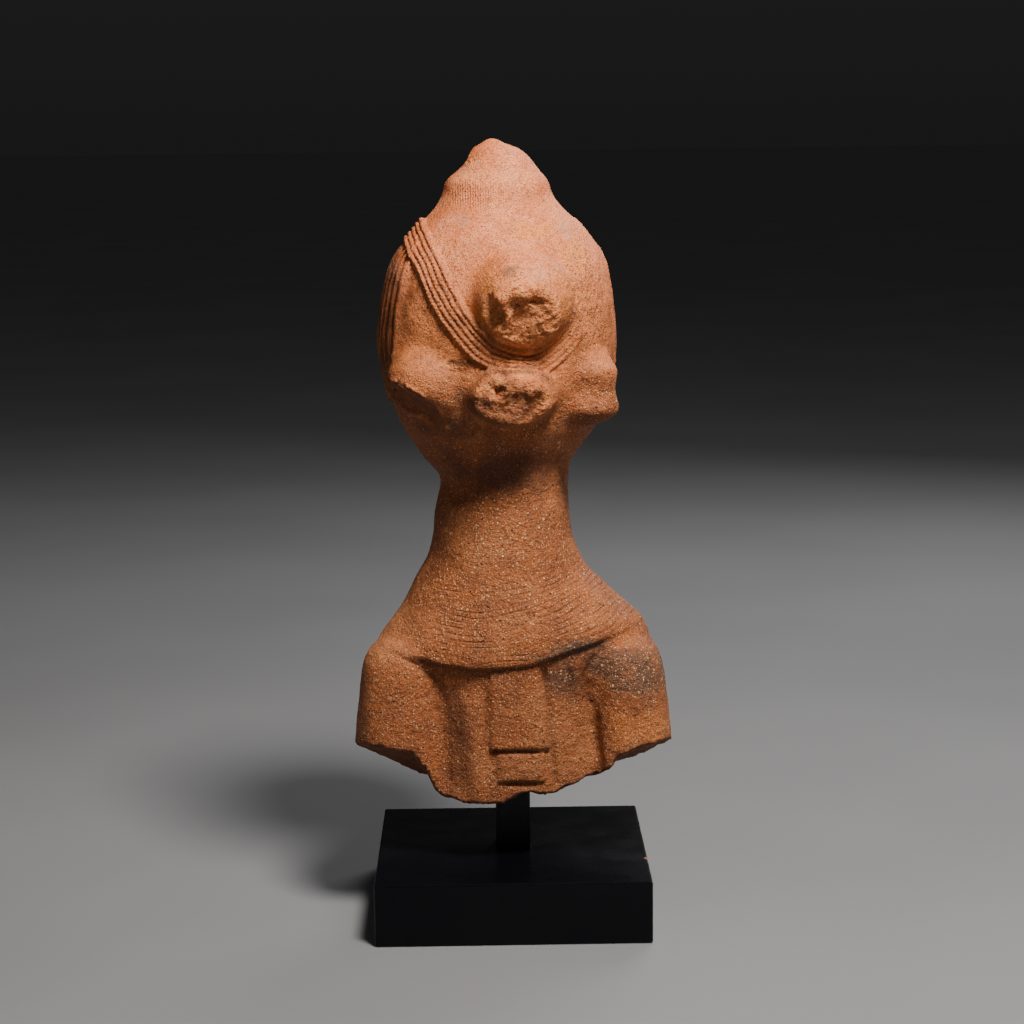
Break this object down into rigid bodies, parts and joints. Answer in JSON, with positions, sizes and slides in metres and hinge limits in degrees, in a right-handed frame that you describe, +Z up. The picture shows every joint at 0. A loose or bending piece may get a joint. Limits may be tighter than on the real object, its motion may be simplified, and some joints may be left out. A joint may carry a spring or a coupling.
{
  "type": "terracotta bust on a stand",
  "caption": "Broken terracotta bust with a bossed headdress and a carved collar, held on a square post above a black block.",
  "frame": {"origin": "centre of the base block's underside", "axes": "+Z up the post, +Y towards the side that the face looks to, +X to the right as seen from behind the head"},
  "size_m": [0.1499, 0.138, 0.364],
  "materials": {
    "terracotta": "matte",
    "black_lacquer": "gloss",
    "black_paint": "satin"
  },
  "bodies": {
    "root": {"terracotta_bust": "terracotta", "display_post": "black_paint", "base_block": "black_lacquer"}
  },
  "joints": []
}
